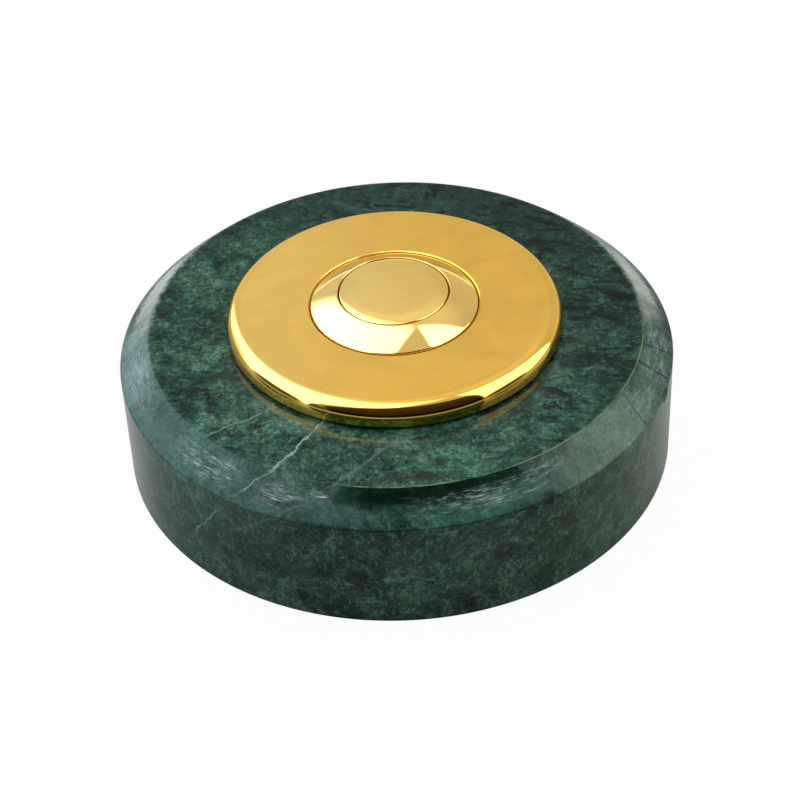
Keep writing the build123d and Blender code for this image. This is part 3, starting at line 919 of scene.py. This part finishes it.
def makeBezel(finish):
    crest, plateTop, foot = bezel["crest"], topOf("cover_plate"), bottomOf("bezel_barrel")
    flange, barrel, bore = radiusOf("bezel_barrel"), bezel["barrelRadius"], bezel["bore"]
    grooveLow, grooveHigh, groove = bezel["ringGroove"]
    chamberTop, chamber = bezel["chamber"]
    rows = int((bezel["threadTop"] - foot) / bezel["threadPitch"] * bezel["threadRows"])
    thread = [(barrel, foot + (bezel["threadTop"] - foot) * row / rows) for row in range(rows, -1, -1)]
    lip = (flange - bezel["lipBreak"], plateTop)
    steps, lowerBore = bezel["faceSteps"], bezel["lowerBore"]
    points = [(bore, crest)]
    points += [crownPoint((bore, crest), lip, step / steps) for step in range(1, steps + 1)]
    points += [(flange, plateTop - bezel["lipBreak"]), (flange, bezel["flangeBottom"])]
    points += [(barrel, bezel["flangeBottom"])] + thread
    points += [
        (lowerBore, foot), (lowerBore, grooveLow), (groove, grooveLow), (groove, grooveHigh),
        (lowerBore, grooveHigh), (lowerBore, chamberTop), (chamber, chamberTop),
        (chamber, bezel["guideBottom"]), (bezel["guideBore"], bezel["guideBottom"]),
        (bezel["guideBore"], bezel["springSeat"]), (bezel["springPocket"], bezel["springSeat"]),
        (bezel["springPocket"], bezel["guideTop"]), (bore, bezel["guideTop"]), (bore, crest),
    ]
    piece = drawOutline("bezelBarrel", points)
    roundCorner(piece, (bore, crest), bezel["crestRound"], bezel["crestSteps"])
    roundCorner(piece, lip, bezel["lipBreak"] / 2, bezel["lipSteps"])
    spinOutline(piece, bezel["steps"])
    cutThread(piece, foot)
    smoothShell(piece)
    fitPiece(piece, "base", "bezel_barrel", finish)


def cutThread(piece, foot):
    pitch, barrel, touch = bezel["threadPitch"], bezel["barrelRadius"], bezel["touch"]
    for vertex in piece.data.vertices:
        spot = vertex.co / mm
        if abs(spot.xy.length - barrel) > touch or spot.z > bezel["threadTop"] - touch:
            continue
        turn = (spot.z / pitch - math.atan2(spot.y, spot.x) / math.tau) % 1
        depth = bezel["threadDepth"] * (1 - abs(2 * turn - 1))
        run = min(1, (bezel["threadTop"] - spot.z) / pitch)
        vertex.co.xy *= 1 - max(depth * run, bezel["footBreak"] * (spot.z < foot + touch)) / barrel


paleBrass = polishedFinish("paleBrass", paleLook)
makeBezel(paleBrass)


# Push button, turned in one with its stem
button = {
    "domeDrop": 0.1,
    "crownWidth": 2.2,
    "crownDrop": 0.42,
    "edgeRound": 0.2,
    "edgeSteps": 8,
    "seal": (24.925, 26.275, 7.05),
    "cup": (25.6, 5.6),
    "skirt": 23.2,
    "stem": 2.5,
    "clipGroove": (17.6, 18.2, 2.0),
    "stemEnd": 15.5,
    "spigot": 1.25,
    "faceSteps": 12,
    "steps": 240,
}


def buttonFace(radius, high):  # a shallow dome that turns down into a crowned edge
    steps, start, drop = button["faceSteps"], radius - button["crownWidth"], button["domeDrop"]
    dome = (start * start + drop * drop) / (2 * drop)
    points = []
    for step in range(steps + 1):
        run = start * step / steps
        points.append((run, high - dome + math.sqrt(dome * dome - run * run)))
    first = 2 * math.atan2(drop, start)
    last = 2 * math.atan2(button["crownDrop"], button["crownWidth"]) - first
    curve = button["crownWidth"] / (math.sin(last) - math.sin(first))
    for step in range(1, steps + 1):
        tilt = first + (last - first) * step / steps
        across = curve * (math.sin(tilt) - math.sin(first))
        points.append((start + across, high - drop - curve * (math.cos(first) - math.cos(tilt))))
    return points


def makeButton(finish):
    high, low, radius = topOf("push_button"), bottomOf("push_button"), radiusOf("push_button")
    face = buttonFace(radius, high)
    sealLow, sealHigh, sealFloor = button["seal"]
    ceiling, cup = button["cup"]
    clipLow, clipHigh, clip = button["clipGroove"]
    stem, spigot, skirt = button["stem"], button["spigot"], button["skirt"]
    points = face + [
        (radius, sealHigh), (sealFloor, sealHigh), (sealFloor, sealLow), (radius, sealLow), (radius, skirt),
        (cup, skirt), (cup, ceiling), (stem, ceiling), (stem, clipHigh), (clip, clipHigh), (clip, clipLow),
        (stem, clipLow), (stem, button["stemEnd"]), (spigot, button["stemEnd"]), (spigot, low), (0, low),
    ]
    piece = drawOutline("pushButton", points)
    roundCorner(piece, face[-1], button["edgeRound"], button["edgeSteps"])
    spinOutline(piece, button["steps"])
    smoothShell(piece)
    fitPiece(piece, "button", "push_button", finish)


makeButton(paleBrass)


# Finishes of the pieces inside: two tones, marks on them, grain and drift in millimetres
innerLooks = {
    "plain_brass": {
        "tones": ((0.62, 0.41, 0.15), (0.72, 0.50, 0.20)), "mark": (0.42, 0.27, 0.09),
        "marks": 0.5, "drift": 3.0, "grain": 0.12, "turned": True,
        "metal": 1.0, "roughness": 0.26, "spread": 0.3, "relief": 0.012,
    },
    "contact_brass": {
        "tones": ((0.66, 0.44, 0.16), (0.76, 0.54, 0.22)), "mark": (0.45, 0.27, 0.10),
        "marks": 0.4, "drift": 2.0, "grain": 0.2, "turned": False,
        "metal": 1.0, "roughness": 0.3, "spread": 0.25, "relief": 0.006,
    },
    "spring_steel": {
        "tones": ((0.36, 0.36, 0.37), (0.48, 0.48, 0.49)), "mark": (0.22, 0.21, 0.20),
        "marks": 0.5, "drift": 1.6, "grain": 0.1, "turned": True,
        "metal": 1.0, "roughness": 0.3, "spread": 0.25, "relief": 0.006,
    },
    "plated_steel": {
        "tones": ((0.54, 0.56, 0.59), (0.64, 0.64, 0.62)), "mark": (0.40, 0.42, 0.46),
        "marks": 0.5, "drift": 4.0, "grain": 0.25, "turned": True,
        "metal": 1.0, "roughness": 0.28, "spread": 0.25, "relief": 0.008,
    },
    "black_rubber": {
        "tones": ((0.014, 0.014, 0.015), (0.024, 0.024, 0.024)), "mark": (0.05, 0.05, 0.048),
        "marks": 0.3, "drift": 2.5, "grain": 0.3, "turned": False,
        "metal": 0.0, "roughness": 0.62, "spread": 0.3, "relief": 0.012,
    },
    "black_moulding": {
        "tones": ((0.022, 0.022, 0.024), (0.034, 0.034, 0.036)), "mark": (0.06, 0.06, 0.06),
        "marks": 0.25, "drift": 4.0, "grain": 0.25, "turned": False,
        "metal": 0.0, "roughness": 0.42, "spread": 0.25, "relief": 0.01,
    },
    "ivory_moulding": {
        "tones": ((0.68, 0.64, 0.53), (0.76, 0.73, 0.63)), "mark": (0.58, 0.53, 0.41),
        "marks": 0.3, "drift": 3.0, "grain": 0.3, "turned": False,
        "metal": 0.0, "roughness": 0.4, "spread": 0.2, "relief": 0.008,
    },
    "red_fibre": {
        "tones": ((0.24, 0.050, 0.030), (0.32, 0.078, 0.046)), "mark": (0.15, 0.032, 0.022),
        "marks": 0.6, "drift": 5.0, "grain": 0.35, "turned": False,
        "metal": 0.0, "roughness": 0.6, "spread": 0.3, "relief": 0.02,
    },
}


def innerFinish(slot, look):
    bench = newFinish(slot)
    place = bench.place()
    drift = bench.noise(place, look["drift"], 3, 0.55)
    lines = bench.noise(bench.turned(place, 1.5) if look["turned"] else place, look["grain"], 4, 0.65)
    colour = bench.mix(bench.ease(drift, 0.35, 0.65), *look["tones"])
    colour = bench.mix(bench.ease(lines, 0.48, 0.68) * look["marks"], colour, look["mark"])
    return bench.surface({
        "Base Color": colour,
        "Metallic": look["metal"],
        "Roughness": look["roughness"] + (lines - 0.5) * look["spread"],
        "Normal": bench.bump(lines, look["relief"]),
    })


innerFinishes = {slot: innerFinish(slot, look) for slot, look in innerLooks.items()}
for subpart in frame["record"]["subparts"]:
    if subpart["material_slot"] in innerFinishes:
        for place in nodes[subpart["node"]].material_slots:
            place.material = innerFinishes[subpart["material_slot"]]
print("dressed", len(innerFinishes), "inner finishes")


# Return spring: round wire, wound up the stem and closed at both ends
spring = {
    "coilRadius": 4.4,
    "wireRadius": 0.3,
    "endGap": 0.02,
    "turns": 4,
    "wireSides": 16,
    "stepsPerTurn": 56,
    "seat": 20.25,
    "cupCeiling": 25.6,
    "travel": 1.6,
    "smoothAngle": 40,
}


def makeSpring(finish):
    start = spring["seat"] + spring["endGap"] + spring["wireRadius"]
    rise = spring["cupCeiling"] - spring["endGap"] - spring["wireRadius"] - start
    deselectAll()
    bpy.ops.mesh.primitive_circle_add(vertices=spring["wireSides"], radius=spring["wireRadius"] * mm)
    piece = bpy.context.object
    piece.name = piece.data.name = "returnSpring"
    bpy.ops.object.mode_set(mode="EDIT")
    bpy.ops.transform.rotate(value=math.pi / 2, orient_axis="X", center_override=(0, 0, 0))
    bpy.ops.transform.translate(value=(spring["coilRadius"] * mm, 0, start * mm))
    bpy.ops.object.mode_set(mode="OBJECT")
    coil = piece.modifiers.new("coil", "SCREW")
    coil.axis = "Z"
    coil.angle = math.tau
    coil.screw_offset = rise / spring["turns"] * mm
    coil.iterations = spring["turns"]
    coil.steps = coil.render_steps = spring["stepsPerTurn"]
    bpy.ops.object.modifier_apply(modifier=coil.name)
    bpy.ops.object.mode_set(mode="EDIT")
    bpy.ops.mesh.select_all(action="SELECT")
    bpy.ops.mesh.remove_doubles(threshold=shellWeld * mm)
    bpy.ops.mesh.select_all(action="DESELECT")
    bpy.ops.mesh.select_non_manifold()
    bpy.ops.mesh.edge_face_add()
    bpy.ops.mesh.select_all(action="SELECT")
    bpy.ops.mesh.normals_make_consistent(inside=False)
    bpy.ops.object.mode_set(mode="OBJECT")
    smoothShell(piece, spring["smoothAngle"])
    fitPiece(piece, "base", "return_spring", finish)
    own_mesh(piece)


makeSpring(innerFinishes["spring_steel"])
